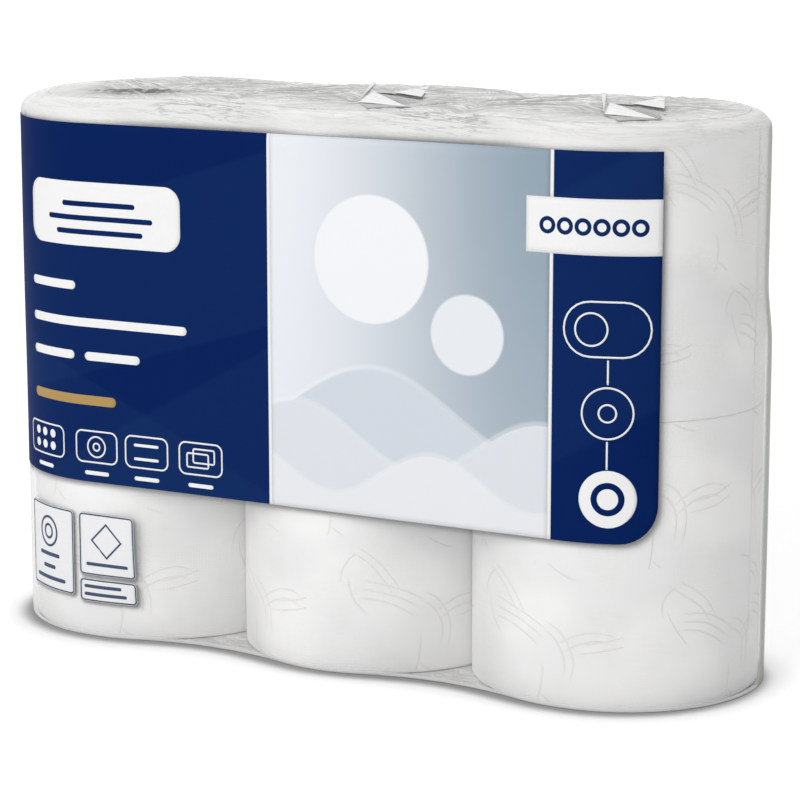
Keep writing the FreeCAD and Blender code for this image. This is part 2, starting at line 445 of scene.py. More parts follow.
def topRim(u):
    # Height and width of the shoulder's rounding: the film is drawn down furthest at the ends.
    normalX = outline(u, pack["radius"])[2]
    left, right = ease(-normalX, 0.2, 1), ease(normalX, 0.2, 1)
    drop = film["rimHigh"] + film["leftRim"] * left + film["rightRim"] * right
    inset = (film["rimHigh"] + film["leftSlope"] * film["leftRim"] * left
             + film["rightSlope"] * film["rightRim"] * right)
    return drop, inset


# Creases of the gathered top: how many, and the ranges that are drawn from
creases = {
    "focus": [(5.0, -29.0), (14.0, -24.0), (14.0, -24.0)],  # where they meet, from a column's centre
    "bowl": [(-3.0, -4.0), (3.0, -4.0), (3.0, -4.0)],  # middle of the hollow over the core
    "fans": (46, [(2, 14), (17, 46)], [(1.6, 4.2), (0.4, 1.6)]),  # count, near and far, half width and rise
    "crumples": ((70, 16, 16), 15, [(2, 6), (1.5, 3.4), (1.0, 2.2)]),  # counts, reach, half length and so on
    "wrinkles": (120, [(6, 27), (1.5, 3.8), (0.3, 1.3)]),
    "pleatFolds": ((0, 4, 9), 2.6, 2.2),  # they run up to the pleat
    "tipFolds": ((-14, -6, 3, 13), 2.4, 2.0),  # they leave the flap's tip
}


def ridgeAt(x, y, lean, long, half, rise):
    # a ridge given by its middle, direction and half length
    stepX, stepY = long * math.cos(lean), long * math.sin(lean)
    return [x - stepX, y - stepY, x + stepX, y + stepY, half, rise]


def ridgeList():
    # Ridges as rows of x0, y0, x1, y1, half width, rise: fans round each focus, short crumples
    # on it, and long wrinkles along the row that lean towards the nearest focus.
    rng = np.random.default_rng(17)
    rows = []

    def draw(ranges):
        return [rng.uniform(*limits) for limits in ranges]

    fans, fanEnds, fanSizes = creases["fans"]
    crumples, crumpleReach, crumpleSizes = creases["crumples"]
    wrinkles, wrinkleSizes = creases["wrinkles"]
    for column, (shiftX, shiftY) in enumerate(creases["focus"]):
        centre = pack["columnX"][column]
        x, y = centre + shiftX, shiftY
        for turn in rng.uniform(0, 2 * math.pi, fans):
            near, far = draw(fanEnds)
            bend = turn + rng.normal(0, 0.12)
            rows.append([x + near * math.cos(turn), y + near * math.sin(turn) * 0.7,
                         x + far * math.cos(bend), y + far * math.sin(bend), *draw(fanSizes)])
        for _ in range(crumples[column]):
            # crumples lie across the line of sight, within the gathered patch
            reach, turn = crumpleReach * math.sqrt(rng.uniform(0, 1)), rng.uniform(0, 2 * math.pi)
            rows.append(ridgeAt(x + reach * math.cos(turn), y + reach * math.sin(turn),
                                rng.normal(0.5, 0.5), *draw(crumpleSizes)))
        if column:
            drops, half, rise = creases["pleatFolds"]
            rows += [[centre - 56 + drop, -8 - 1.5 * drop, centre - 21 + drop, 31 - 3.2 * drop, half, rise]
                     for drop in drops]
            spreads, half, rise = creases["tipFolds"]
            rows += [[centre + 23, -27, centre + 42 - abs(spread) * 0.4, -24 + spread, half, rise]
                     for spread in spreads]
    for _ in range(wrinkles):
        x, y = rng.uniform(-128, 128), rng.uniform(-44, 44)
        lean = rng.normal(0.1, 0.22) - 0.006 * y * math.sin((x + 44) * math.pi / 44)
        rows.append(ridgeAt(x, y, lean, *draw(wrinkleSizes)))
    return rows


def ridgeField(x, y):
    # Height of all the ridges together, and how strongly painted shade and painted highlight lie on their
    # flanks.
    height, shaded, lit = np.zeros_like(x), np.zeros_like(x), np.zeros_like(x)
    for x0, y0, x1, y1, half, rise in ridgeList():
        length = math.hypot(x1 - x0, y1 - y0)
        runX, runY = (x1 - x0) / length, (y1 - y0) / length
        share = ((x - x0) * runX + (y - y0) * runY) / length
        across = (y - y0) * runX - (x - x0) * runY
        across = (across + 0.9 * np.sin(share * 9 + x0)) / half * math.copysign(1, runX)
        taper = np.clip(4 * share * (1 - share), 0, 1) ** 0.6
        strong = min(1, rise / 1.7)
        height = np.maximum(height, rise * taper * np.clip(1 - np.abs(across), 0, 1))
        shaded = np.maximum(shaded, strong * taper * np.clip(1.2 - np.abs(across + 0.7) / 0.6, 0, 1))
        lit = np.maximum(lit, strong * taper * np.clip(1.1 - np.abs(across - 0.4) / 0.7, 0, 1))
    return height, shaded, lit


def hollows(height, rounds=4):
    # How far each point of a grid lies below its neighbours' mean, above it where negative.
    smooth = height
    for _ in range(rounds):
        sides = np.roll(smooth, 1, 1) + np.roll(smooth, -1, 1)
        ends = np.concatenate([smooth[:1], smooth[:-1]]) + np.concatenate([smooth[1:], smooth[-1:]])
        smooth = (2 * smooth + sides + ends) / 6
    return smooth - height


def nearestColumn(x, y, shifts):
    # Offset from the nearest column's centre, moved by that column's own shift.
    centres = pack["columnX"]
    pick = np.argmin(np.abs(x[None] - centres[:, None, None]), 0)
    return x - centres[pick] - np.array(shifts)[pick, 0], y - np.array(shifts)[pick, 1], pick


def endRelief(x, y, seed, ridges=True):
    # Height of the gathered film over a flat end, with the fields that its finish needs.
    dx, dy, pick = nearestColumn(x, y, creases["bowl"])
    bowl = np.clip(1 - (np.hypot(dx, dy) / film["bowlRadius"]) ** 2, 0, 1) ** 1.2
    dx, dy, _ = nearestColumn(x, y, creases["focus"])
    # the gathered patch lies askew, long across the line of sight of the front corner
    along, across = dx * 0.88 + dy * 0.47, dy * 0.88 - dx * 0.47
    # lens also sets how much painted shade the gathered patch gets
    lens = np.exp(-(along / 15) ** 2 - (across / 12) ** 2) * np.where(pick > 0, 0.45, 1.0)
    waist = y / (1 - 0.5 * np.exp(-(dx / 24) ** 2)) + 2.2 * softNoise(x / 30, y / 30, seed + 2)
    longRidge = 1 - np.abs(softNoise(x / 24, waist / 7.5, seed + 3))
    shortRidge = 1 - np.abs(softNoise(x / 8, waist / 3.6, seed + 4))
    crinkle = longRidge ** 2 + 0.45 * shortRidge ** 2
    relief = film["crinkle"] * (crinkle - 0.95)
    if ridges:
        relief = relief + ridgeField(x, y)[0] * (0.5 + 0.5 * lens)
        swell = np.exp(-((x - pack["columnX"][pick] + 2) / 36) ** 2) * np.clip(1 - (y / 48) ** 8, 0, 1)
        relief = relief + film["dome"] * swell * (pick > 0)
        # the film lies low under the flaps
        tucked = np.exp(-((x - pack["columnX"][pick] - 8) / 22) ** 2 - ((y + 12) / 27) ** 2) * (pick > 0)
        relief = relief * (1 - tucked)
        # nowhere lower than the paper that it lies on
        relief = 0.1 + (relief + np.sqrt(relief ** 2 + 0.3)) / 2
    edge = pack["rollRadius"]
    offRoll = ease(np.hypot(x - pack["columnX"][pick], y), edge - 4, edge + 4)
    relief = relief - film["bowlDepth"] * bowl - film["sag"] * offRoll
    relief = np.where(relief > 0, film["topCap"] * np.tanh(relief / film["topCap"]), relief)
    return relief, lens, bowl, waist


def closureRows(u, rows, rim, rimIn):
    # From the outline to the middle line in even steps: t is 0 at the rim and 1 on the line.
    t = np.linspace(0, 1, rows + 1)[1:, None]
    x0, _, normalX, normalY = outline(u, pack["radius"])
    rimX, rimY = rim[:, 0] - rimIn * normalX, rim[:, 1] - rimIn * normalY
    middleX = np.clip(x0, -pack["endX"], pack["endX"])
    return rimX * (1 - t) + middleX * t, rimY * (1 - t), t + 0 * x0


def filmParts():
    u = outlineSteps()
    height = pack["height"]
    rim, rimWide = topRim(u)
    # rows run up from the rounded foot to the rounded shoulder, whose radius varies
    footTurn = np.linspace(0, math.pi / 2, 4)[:, None]
    shoulderTurn = np.linspace(0, math.pi / 2, 8)[:, None]
    wallCount = int((height - film["rimLow"] - film["rimHigh"]) / film["wallStep"])
    share = np.linspace(0, 1, wallCount)[1:-1, None]
    rowZ = [film["rimLow"] * (1 - np.cos(footTurn)) + 0 * u,
            film["rimLow"] + (height - rim - film["rimLow"]) * share,
            height - rim * (1 - np.sin(shoulderTurn))]
    rowIn = [film["rimLow"] * (1 - np.sin(footTurn)) + 0 * u, 0 * u + 0 * share,
             rimWide * (1 - np.cos(shoulderTurn))]
    rowZ, rowIn = np.concatenate(rowZ), np.concatenate(rowIn)
    gridU = u + 0 * rowZ
    wallX, _, wallNormal, _ = outline(gridU, pack["radius"])
    # the creases run down over the shoulder, as a fine inward buckling
    gathered = ease(rowZ, height - film["gatherReach"], height - 1)
    buckle = 1 - np.abs(softNoise(gridU / 13 + 0.05 * rowZ, rowZ / 2.6 + 0.1 * gridU, 21))
    # next to the line where u starts again the part is -1, so that no painted shadow falls there
    restart = np.abs(gridU) > aroundPack / 2 - 3
    # where the film bridges from one column to the next it stands off the paper and looks whiter; the whiter
    # veil there is also painted light over the shade between the columns
    standOff = (valley(wallX, pack["radius"] + 0 * wallX) * (np.abs(wallNormal) < 0.5)
                - filmSink(gridU, rowZ))
    wall = [onPack(gridU, rowZ, -rowIn - 0.55 * gathered * buckle), triple(gridU, rowZ, -1.0 * restart),
            triple(0, gathered, 2.4 * rowZ + 0.1 * gridU), triple(0, 0, ease(standOff, 0.6, 7.0))]

    topX, topY, topT = closureRows(u, film["topRows"], onPack(u, height + 0 * u), rimWide)
    # the front edge is drawn smooth, and the creases run out to the back edge
    calm = np.where(topY < 0, 0.2 + 0.8 * ease(topT, 0.14, 0.5), 0.45 + 0.55 * ease(topT, 0, 0.3))
    relief, lens, _, waist = endRelief(topX, topY, 11)
    relief = np.where(relief > 0, relief * (0.3 + 0.7 * calm), relief) * ease(topT, 0, 0.08)
    _, shaded, lit = ridgeField(topX, topY)
    # the look and crease fields carry where the finish paints shade and highlights on the creases
    top = [triple(topX, topY, height + relief), triple(topX, topY, 1),
           triple(hollows(relief), lens, waist),
           triple(shaded * calm * (0.6 + 0.4 * lens), lit * calm, calm)]

    baseX, baseY, baseT = closureRows(u, film["baseRows"], onPack(u, 0 * u), film["rimLow"] + 0 * u)
    relief, _, bowl, waist = endRelief(baseX, baseY, 31, False)
    lift = film["bowlDepth"] * bowl + 0.06 * (1 + np.sin(relief * 3)) * ease(baseT, 0, 0.1)
    base = [triple(baseX, baseY, lift), triple(baseX, baseY, 2), triple(0, 0, waist),
            triple(0, 0, 0.3 + 0 * bowl)]

    # points, then the surf, look and crease fields
    points, *fields = [np.concatenate([low[::-1], middle, high])
                       for low, middle, high in zip(base, wall, top)]
    return [(points, gridFaces(len(points), len(u), True), *fields)] + flapParts()


# Tucked folds over the middle and right columns: three corners as offsets from the column's
# centre and the top of the rolls, the last one the tip, and the fold's painted shade (the rest painted
# bright)
flapFolds = [
    ([(-7.5, 6.5, 1.5), (6.0, -28.0, 1.1), (25.5, -31.0, 0.7)], 0.0),  # flap, painted bright
    ([(-23.0, 34.0, 1.7), (-20.5, 33.0, 1.9), (6.0, -28.0, 1.3)], 0.1),  # pleat at its root
    ([(-9.0, 8.0, 0.9), (20.0, -8.0, 0.5), (25.5, -29.0, 0.5)], 0.7),  # fold behind it, a sheet that carries painted shade
    ([(-1.0, 9.0, 1.2), (1.0, 33.0, 1.5), (14.5, 0.5, 0.9)], 0.02),  # second fold, painted bright
    ([(-15.0, 22.0, 1.0), (-8.0, 6.0, 1.0), (1.0, 8.0, 0.8)], 0.4),
    ([(6.5, -29.0, 0.8), (17.0, -42.0, 0.6), (28.0, -32.0, 0.7)], 0.6),  # a sheet that carries the painted shade under the flap
]


flapSizes = {"steps": 14, "bow": 0.35, "thickness": 0.12, "belowTop": 0.1}


def flapParts():
    # Each fold is a thin triangle of film, bowed a little between its edges.
    parts = []
    count = flapSizes["steps"]
    share = np.linspace(0, 1, count)
    down, over = np.meshgrid(share, share, indexing="ij")
    for centre in pack["columnX"][1:]:
        for triangle, shade in flapFolds:
            first, second, tip = np.array(triangle, float)
            edge = first + (second - first) * down[..., None]
            sheet = edge + (tip - edge) * over[..., None]
            sheet = sheet + np.array([centre, 0, pack["height"]])
            sheet[..., 2] += flapSizes["bow"] * np.sin(over * math.pi) * np.sin(down * math.pi)
            sheet[..., 2] = np.minimum(sheet[..., 2], pack["foldTop"] - flapSizes["belowTop"])
            both = np.stack([sheet, sheet - np.array([0, 0, flapSizes["thickness"]])])
            none = 0 * both[..., 0]
            fields = [triple(30 * over + none, 0, 3), triple(0, shade, 24 * down + none),
                      triple(0, 0, 1 + none)]
            faces = gridFaces(count, count)
            last = count * count
            rim = np.concatenate([np.arange(count), np.arange(2 * count - 1, last, count),
                                  np.arange(last - 2, last - count - 1, -1),
                                  np.arange(last - 2 * count, 0, -count)])
            wrap = np.stack([rim, np.roll(rim, -1), np.roll(rim, -1) + last, rim + last], -1)
            both = both if np.cross(second - first, tip - first)[2] < 0 else both[::-1]
            faces = np.concatenate([faces, faces[:, ::-1] + last, wrap[:, ::-1]])
            parts.append((both, faces, *fields))
    return parts


filmLook = {
    # share of the film that shows: tight wall, painted reflections on it, between columns, shoulder, rim,
    # edge on
    "veil": 0.08, "paintedReflection": 0.1, "bridge": 0.12, "shoulder": 0.55, "rim": 0.6, "edgeOn": 0.75, "most": 0.92,
    "ends": 0.8, "endsMore": 0.16, "shadow": 0.55,
    "shadowShift": 0.6,  # the printed pieces' shadows lie this far right and down
}


def boxShadow(finish, u, z, box, radius, reach):
    # Soft shadow round a printed piece: distance to a rounded box set a little right and down.
    u0, u1, z0, z1 = box
    shift = filmLook["shadowShift"]
    outU = finish.most(abs(u - ((u0 + u1) / 2 + shift)) - ((u1 - u0) / 2 - radius), 0)
    outZ = finish.most(abs(z - ((z0 + z1) / 2 - shift)) - ((z1 - z0) / 2 - radius), 0)
    return finish.step(finish.distance(outU, outZ) - radius, reach, -0.3)


def filmFinish():
    # Clear film: a thin veil where it lies tight, milky and creased where it is gathered.
    look = filmLook
    finish = Finish("clearFilm")
    u, z, part = finish.surf()
    hollow, lens, waist = finish.surf("look")
    shaded, lit, calm = finish.surf("crease")
    onWall = part < 0.5
    onEnds = 1 - onWall
    onFlap = part > 2.5
    onTop = onEnds - onFlap
    # on the ends lens marks the gathered patches and their painted shade, on the wall it is how far the
    # gathers reach down, and on a flap how much painted shade the fold gets
    gathered = finish.most(onTop, lens * onWall)
    # streaks: noise drawn out along the row; bands round its middle value make thin lines of painted shade
    # and painted highlight where faint creases would catch the light
    broad = finish.noise(finish.place(u * 0.022, waist * 0.13, part), 1.0, 4.0, 0.6)
    fine = finish.noise(finish.place(u * 0.06, waist * 0.34, part), 1.0, 4.0, 0.6)
    creaseLineShade = finish.most(finish.step(abs(broad - 0.47), 0.03, 0.0),
                           finish.step(abs(fine - 0.44), 0.035, 0.005))
    creaseLineHighlight = finish.step(abs(fine - 0.55), 0.04, 0.005)
    # painted shade in the hollows of the relief and painted highlight on its raised parts
    sunkShade = finish.step(hollow, 0.05, 0.35)
    raisedHighlight = finish.step(hollow, -0.05, -0.35)
    hollowShade = finish.most(sunkShade * (0.25 + 0.4 * broad) * calm, creaseLineShade * 0.5 * (0.35 + 0.65 * calm))
    # painted shade in the dark gathered patches
    patchShade = finish.step(fine, 0.56, 0.42) * lens * onTop * 0.85
    # painted shade on the ridges' shaded flanks
    ridgeShade = finish.maths("MINIMUM", shaded * (1 + 0.6 * lens * onTop), 0.85)
    # painted shade on the folds
    foldShade = onFlap * (lens * (0.45 + 0.9 * fine) + 0.2 * creaseLineShade)
    # all the painted shade together
    paintedShade = finish.most(hollowShade * gathered, patchShade, ridgeShade, foldShade)
    # all the painted highlights together: lines, raised parts, lit ridge flanks and bright folds
    light = finish.most(finish.most(creaseLineHighlight * 0.7, raisedHighlight) * gathered, lit, onFlap * (1 - lens) * 0.7)
    endAlpha = look["ends"] + look["endsMore"] * finish.most(paintedShade, light, 1 - onTop)
    # the tight wall: a veil with broad slanting painted reflections, whiter where it bridges between columns
    # (partly painted light over their shade), towards the shoulder and at the rim
    drift = finish.noise(finish.place(u * 0.011 + z * 0.012, z * 0.02 - u * 0.006), 1.0, 2.0)
    # painted reflections: broad slanting bands where the veil is whiter
    paintedReflection = finish.step(drift, 0.46, 0.66)
    facing = finish.node("LayerWeight", None, {"Blend": 0.5}, 1)
    endward = finish.step(abs(u), pack["endX"] + 18, pack["endX"] + halfRound / 2)
    shoulder = finish.step(z - 4.5 * endward + 3 * broad, pack["height"] - 9, pack["height"] - 4)
    rim = finish.step(z, 2.0, 1.1)
    bridge = calm * onWall
    edgeOn = finish.step(facing, 0.66, 0.82) * (1 - shoulder)
    veil = look["veil"] + look["paintedReflection"] * paintedReflection * (1 - bridge) + look["bridge"] * bridge
    veil = veil + look["shoulder"] * shoulder + look["rim"] * rim + look["edgeOn"] * edgeOn
    printed = [((label["left"], label["right"], label["low"], label["high"]),
                label["shadowCorner"], label["shadowReach"])]
    printed += [(box, badgeSizes["corner"], badgeSizes["shadowReach"]) for box in badges.values()]
    shadow = finish.most(*[boxShadow(finish, u, z, *piece) for piece in printed])
    shadow = shadow * onWall * (part > -0.01)
    alpha = finish.most(finish.maths("MINIMUM", veil, look["most"]) * onWall, endAlpha * onEnds,
                        shadow * look["shadow"])
    milky = finish.mix(calm * onTop, grey(0.96, 0.012), grey(0.87, 0.02))
    # painted highlights and a painted bright line along the foot's rim turn the film near white
    colour = finish.mix(finish.most(light, rim * onWall), milky, grey(0.99))
    # painted dark reflection: where the film is seen edge on at the right end it turns dark grey-green; the
    # left end stays white
    colour = finish.mix(edgeOn * onWall * (u > 0), colour, (0.44, 0.46, 0.42, 1))
    colour = finish.mix(paintedShade, colour, grey(0.08, 0.06))
    colour = finish.mix(shadow, colour, grey(0.2))
    relief = (broad * 1.2 + fine * 0.5) * gathered * (0.25 + 0.75 * calm) + drift * 0.2
    return finish.done(Base_Color=colour, Roughness=0.2, Specular_IOR_Level=0.02, Alpha=alpha,
                       Normal=finish.bump(relief, 0.0012, 0.9))


def buildFilm():
    finish = filmFinish()
    makePiece("filmOverwrap", filmParts(), finish, ("surf", "look", "crease"), ("film_wrap",),
              weld=0.002)
    # the sleeve's lapped edges, up the middle of the back
    half, margin = film["seamWidth"] / 2, film["seamMargin"]
    seam = panel(aroundPack / 2 - half, aroundPack / 2 + half, margin, pack["height"] - margin, 0.25)
    makePiece("filmSeam", [seam], finish, wall=0.1)


# Paper rolls
rolls = {
    "roundSteps": 220, "wallStep": 2.2,
    "rim": 0.55,  # rounding of the cut edges
    "soft": 0.16,  # unevenness of the wound face
    "tailTurn": math.radians(118), "tailSweep": math.radians(50), "tailStep": 0.5,
    "endRows": 16,
    "boreGap": 0.05,
}


def rollParts(column, layer):
    low, high = nodeBox("roll_%s_%s" % (columnNames[column], layerNames[layer]))
    centreX = pack["columnX"][column]
    height = high[2] - low[2]
    turn = np.linspace(0, 2 * math.pi, rolls["roundSteps"], endpoint=False)
    pastTail = (turn - rolls["tailTurn"]) % (2 * math.pi)
    tail = rolls["tailStep"] * np.clip(1 - pastTail / rolls["tailSweep"], 0, 1) ** 2
    radius = pack["rollRadius"] - tail
    # flats where two rolls press on each other
    half = pack["spacing"] / 2
    for side, pressed in ((1, column < 2), (-1, column > 0)):
        cosine = side * np.cos(turn)
        flat = np.where(cosine > 0.2, half / np.maximum(cosine, 0.2), 1e3)
        radius = np.minimum(radius, flat) if pressed else radius
    boreRadius = pack["coreRadius"] + rolls["boreGap"]
    # the upper rolls' tops are pressed round by the film, most at the ends of the row
    rim = rolls["rim"]
    more = film["leftRim" if column == 0 else "rightRim"] * ease(np.cos(turn) * (column - 1), 0.15, 1)
    wider = film["leftSlope" if column == 0 else "rightSlope"] * more
    topRimNow = rim + layer * (film["rimHigh"] - rim + more)
    topRimWide = rim + layer * (film["rimHigh"] - rim + wider)
    quarter = np.linspace(0, math.pi / 2, 7)[:, None]
    share = np.linspace(0, 1, int(height / rolls["wallStep"]))[1:-1, None]
    endIn = np.linspace(1, 0, rolls["endRows"])[:-1, None]
    # the profile runs from the bore's foot out, up the wound face and back to the bore's top
    none = 0 * turn
    profileZ = np.concatenate([0 * endIn + none, rim * (1 - np.cos(quarter)) + none,
                               rim + (height - rim - topRimNow) * share,
                               height - topRimNow * (1 - np.sin(quarter)), 0 * endIn + height + none])
    profileIn = np.concatenate([0 * endIn + rim + none, rim * (1 - np.sin(quarter)) + none,
                                0 * share + none, topRimWide * (1 - np.cos(quarter)),
                                0 * endIn + topRimWide])
    toBore = np.concatenate([endIn, 0 * quarter, 0 * share, 0 * quarter, endIn[::-1]])
    seed = 50 + 7 * column + 31 * layer
    uneven = rolls["soft"] * (1 + softNoise(turn * 5, profileZ / 22, seed)) / 2
    outer = radius - profileIn - uneven * (toBore == 0)
    reach = outer * (1 - toBore) + boreRadius * toBore
    x = centreX + reach * np.cos(turn)
    y = reach * np.sin(turn)
    points = triple(x, y, low[2] + profileZ)
    bore = points[[0, -1]]
    surf = triple(turn * pack["rollRadius"] + 41.0 * column + 113.0 * layer, profileZ, reach)
    wound = (points, gridFaces(len(points), len(turn), True), surf)
    inner = (bore, gridFaces(2, len(turn), True)[:, ::-1], surf[[0, -1]])
    return [wound, inner]


paper = {
    "cell": (67.0, 47.0), "rowShift": 29.0, "sway": (9.0, 7.0), "lineGap": 3.0,
    # sheaves of arcs: centre, radius, facing, spread and how many lines
    "strokes": [(14, -10, 40, 68, 16, 3), (2, 20, 30, 40, 22, 2), (52, 58, 34, -72, 22, 2),
                (66, 40, 42, -118, 13, 1), (36, 16, 12, 30, 50, 2), (24, 36, 10, 150, 44, 1),
                (58, 8, 17, 100, 34, 2), (18, 12, 22, -6, 20, 1), (40, 40, 24, 205, 20, 1)],
    "strokeTint": 0.36, "dotTint": 0.1, "bump": 0.0003,
}


def paperFinish():
    # Embossed tissue: curved leaf strokes in a loose repeat and patches of fine dots, and on the
    # cut ends the edges of the turns.
    finish = Finish("embossedPaper")
    u, z, reach = finish.surf()
    where = finish.place(u, z)
    cellU, cellZ = paper["cell"]
    half = paper["lineGap"] / 2
    sway = finish.noise(where, 0.03, 1.0)
    localU = (u + finish.maths("FLOOR", z / cellZ) * paper["rowShift"] + sway * paper["sway"][0]) % cellU
    localZ = (z + sway * paper["sway"][1]) % cellZ
    strokes = []
    for centreU, centreZ, radius, facing, spread, sheaf in paper["strokes"]:
        du, dz = localU - centreU, localZ - centreZ
        distance = finish.distance(du, dz)
        turn = math.radians(facing)
        ahead = (du * math.cos(turn) + dz * math.sin(turn)) / distance
        nearest = abs((distance - radius + half) % (2 * half) - half)
        band = finish.step(abs(distance - radius - half * (sheaf - 1)), half * sheaf, half * sheaf - 0.3)
        window = finish.step(ahead, math.cos(math.radians(spread)), math.cos(math.radians(spread * 0.5)))
        strokes.append(finish.step(nearest, 0.45, 0.05) * window * band)
    lines = finish.most(*strokes)
    lattice = finish.maths("SINE", (u + z) * 3.0) * finish.maths("SINE", (u - z) * 3.0)
    patch = finish.step(finish.noise(finish.place(u, z, 9.0), 0.045, 1.0), 0.48, 0.58)
    dots = lattice * patch
    fibre = finish.noise(where, 1.4, 4.0, 0.6)
    onWall = finish.step(z, 0.5, 0.9) * finish.step(z, pack["rollHeight"] - 0.5, pack["rollHeight"] - 0.9)
    turns = finish.noise(finish.place(reach * 2.1, u * 0.02), 1.0, 3.0, 0.7)
    tint = lines * paper["strokeTint"] + dots * paper["dotTint"]
    cloud = finish.step(finish.noise(finish.place(u + z * 0.5, z * 1.3 - u * 0.4), 0.022, 1.0), 0.4, 0.62)
    colour = finish.mix(cloud, grey(0.86, 0.004), grey(0.93, 0.01))
    colour = finish.mix(tint * onWall, colour, (0.70, 0.67, 0.6, 1))
    colour = finish.mix((1 - onWall) * finish.step(turns, 0.42, 0.6), colour, grey(0.78, 0.03))
    height = (fibre * 0.25 + dots * 0.25 - lines * 0.8) * onWall + turns * (1 - onWall) * 0.4
    return finish.done(Base_Color=colour, Roughness=0.92, Specular_IOR_Level=0.15,
                       Normal=finish.bump(height, paper["bump"], 0.6))


def buildRolls():
    finish = paperFinish()
    for layer in range(2):
        for column in range(3):
            place = "%s_%s" % (columnNames[column], layerNames[layer])
            makePiece("paperRoll_" + place, rollParts(column, layer), finish,
                      replaced=("roll_" + place,), weld=0.001)


def coreFinish():
    # Grey board wound on a slant, with a faint seam.
    finish = Finish("coreBoard")
    where = finish.node("TexCoord", output=3)
    x, _, z = finish.split(where)
    fibre = finish.noise(where, 900.0, 4.0, 0.6)
    seam = finish.step(abs((z * 1000 + x * 600) % 38.0 - 19.0), 0.6, 0.2)
    colour = finish.mix(fibre, grey(0.5, 0.06), grey(0.62, 0.05))
    colour = finish.mix(seam * 0.5, colour, grey(0.33, 0.08))
    return finish.done(Base_Color=colour, Roughness=0.85, Normal=finish.bump(fibre, 0.0002, 0.5))


def finishCores():
    finish = coreFinish()
    for name, piece in frame["nodes"].items():
        if name.startswith("core_"):
            piece.data.materials.clear()
            piece.data.materials.append(finish)


def printFinish(name, colour, gloss, paintedSheen=0.0):
    # Flat ink with a faint mottle; the last argument adds pale angular painted reflections of the film's
    # creases on the navy sheet.
    finish = Finish(name)
    u, z, _ = finish.surf()
    mottle = finish.noise(finish.place(u, z), 0.9, 3.0)
    lighter = tuple(min(1, c * 1.05 + 0.001) for c in colour) + (1,)
    shade = finish.mix(mottle, colour + (1,), lighter)
    if paintedSheen:
        sheen = 0
        for slope, offset, width in label["sheens"]:
            sheen = sheen + finish.step(abs(z - u * slope + offset), width, width * 0.94)
        shade = finish.mix(sheen * paintedSheen, shade, (0.018, 0.055, 0.17, 1))
    return finish.done(Base_Color=shade, Roughness=0.5, Specular_IOR_Level=gloss,
                       Normal=finish.bump(mottle, 0.00005, 0.3))


picture = {
    "left": (0.80, 0.82, 0.86, 1), "right": (0.28, 0.36, 0.43, 1), "foot": (0.70, 0.75, 0.81, 1),
    # height, swing, rate, start and colour
    "hills": [(92, 13, 0.052, 0.4, (0.62, 0.67, 0.73, 1)), (82, 10, 0.07, 2.0, (0.71, 0.74, 0.78, 1)),
              (70, 8, 0.085, 4.1, (0.79, 0.80, 0.83, 1))],
    "crest": (0.88, 0.89, 0.91, 1),
    "discs": [(22, 141, 21, (0.86, 0.87, 0.89, 1)), (57, 119, 13, (0.78, 0.81, 0.85, 1))],
}


def pictureFinish():
    # A plain generic field: pale blue above, soft white hills below and two soft discs.
    finish = Finish("pictureField")
    u, z, _ = finish.surf()
    rise = finish.step(z, label["low"], label["high"])
    shade = finish.mix(finish.step(u, *label["picture"]), picture["left"], picture["right"])
    shade = finish.mix(0.25 - rise * 0.25, shade, picture["foot"])
    for height, swing, rate, start, colour in picture["hills"]:
        above = height + finish.maths("SINE", u * rate + start) * swing - z
        shade = finish.mix(finish.step(above, -0.4, 0.4), shade, colour)
        shade = finish.mix(finish.step(abs(above + 0.6), 1.6, 0.0) * 0.35, shade, picture["crest"])
    for centreU, centreZ, radius, colour in picture["discs"]:
        distance = finish.distance(u - centreU, z - centreZ)
        shade = finish.mix(finish.step(distance, radius + 0.5, radius - 0.5), shade, colour)
    return finish.done(Base_Color=shade, Roughness=0.5, Specular_IOR_Level=0.12)


# Plain marks in place of print: bars and boxes by their two sides, foot and top, rings by centre
marks = {
    "line": 0.6,
    "numberBox": (77.7, 122.0, 147.5, 165.2),
    "beads": 6, "bead": (7.3, 6, 2.1, 1.3),  # from the box's side, spacing, radius and line
    "plate": (-117.0, -51.0, 138.0, 160.0),
    "plateBars": [(-84, 152.4, 30), (-84, 147.6, 44), (-84, 142.8, 36)],
    "mark": (105.9, 70.0, 9.3, 4.4, 2.0),  # centre, disc, ring in it and its line
    "textBars": [(-117.7, -94, 122.6, 125.6), (-117.7, -49, 110, 113), (-117.7, -95, 98.3, 101.3),
                 (-90.5, -68, 98.3, 101.3)],
    "goldBar": (-118, -78, 82.6, 86.0),
    "icons": [(-123, -101), (-95, -78), (-74.4, -57.4), (-52.6, -35.6)],
    "boxes": [(-49.5, -41, 65, 69.8, 0.6), (-47, -38.6, 66.6, 71.4, 0.6), (91, 119, 115.5, 133, 8.7)],
    "rings": [(-86.5, 68, 3.6, 48), (-86.5, 68, 1.3, 24), (100, 124.2, 5.2, 48), (105.5, 97.6, 8.2, 48),
              (105.5, 97.6, 2.8, 30)],
    "links": [(105.5, 114.6, 106.8), (105.5, 88.6, 79.6)],
}


